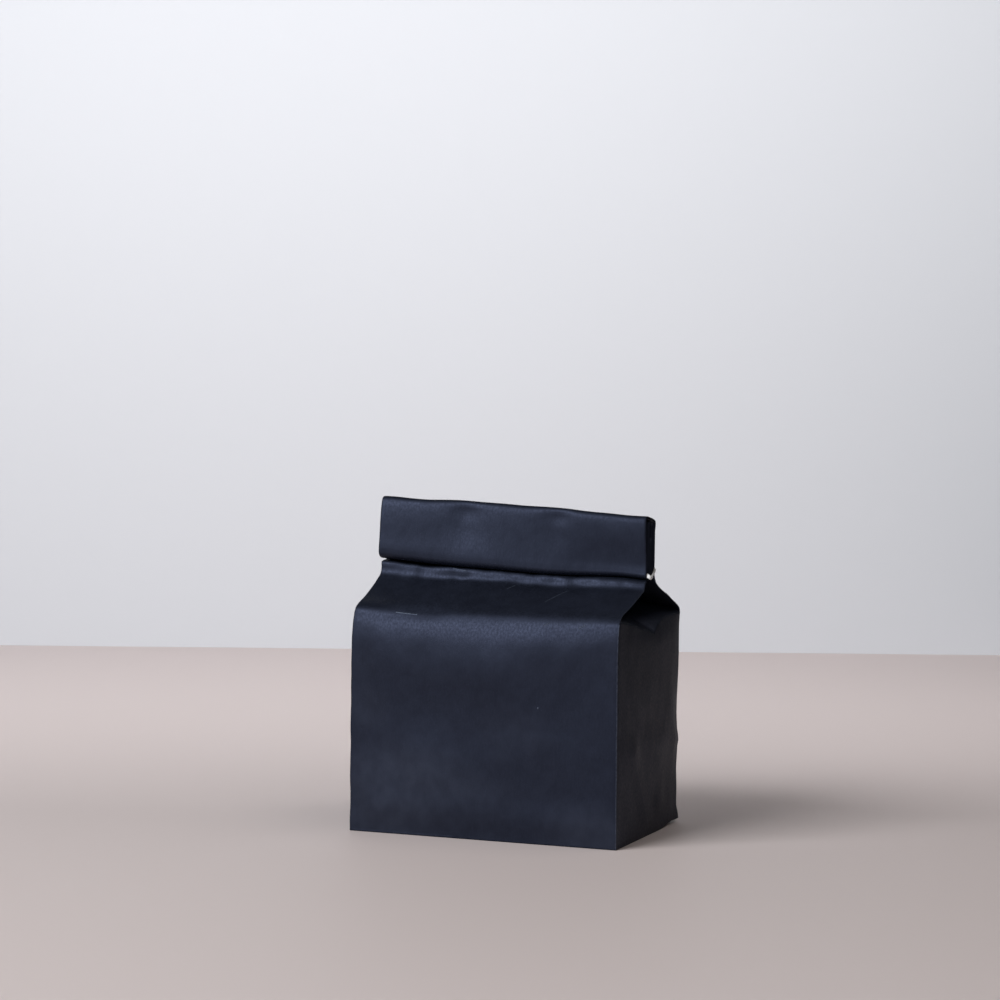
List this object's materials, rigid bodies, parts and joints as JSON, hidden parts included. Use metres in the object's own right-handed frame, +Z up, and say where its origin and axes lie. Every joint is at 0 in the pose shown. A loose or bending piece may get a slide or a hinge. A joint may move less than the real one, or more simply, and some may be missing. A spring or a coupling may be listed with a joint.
{
  "type": "kraft paper storage bag",
  "caption": "Small filled kraft paper bag with side gussets and a folded block bottom, its top rolled down and held by a narrow tie.",
  "frame": {"origin": "middle of the flat bottom, on the surface the bag stands on", "axes": "+Z up, -Y out of the front panel that the top is rolled towards, +X to the right seen from the front"},
  "size_m": [0.1032, 0.0743, 0.12],
  "materials": {
    "black_kraft": "matte with a soft sheen",
    "pale_tie": "satin"
  },
  "bodies": {
    "root": {"bag": "black_kraft", "tie": "pale_tie"}
  },
  "joints": []
}
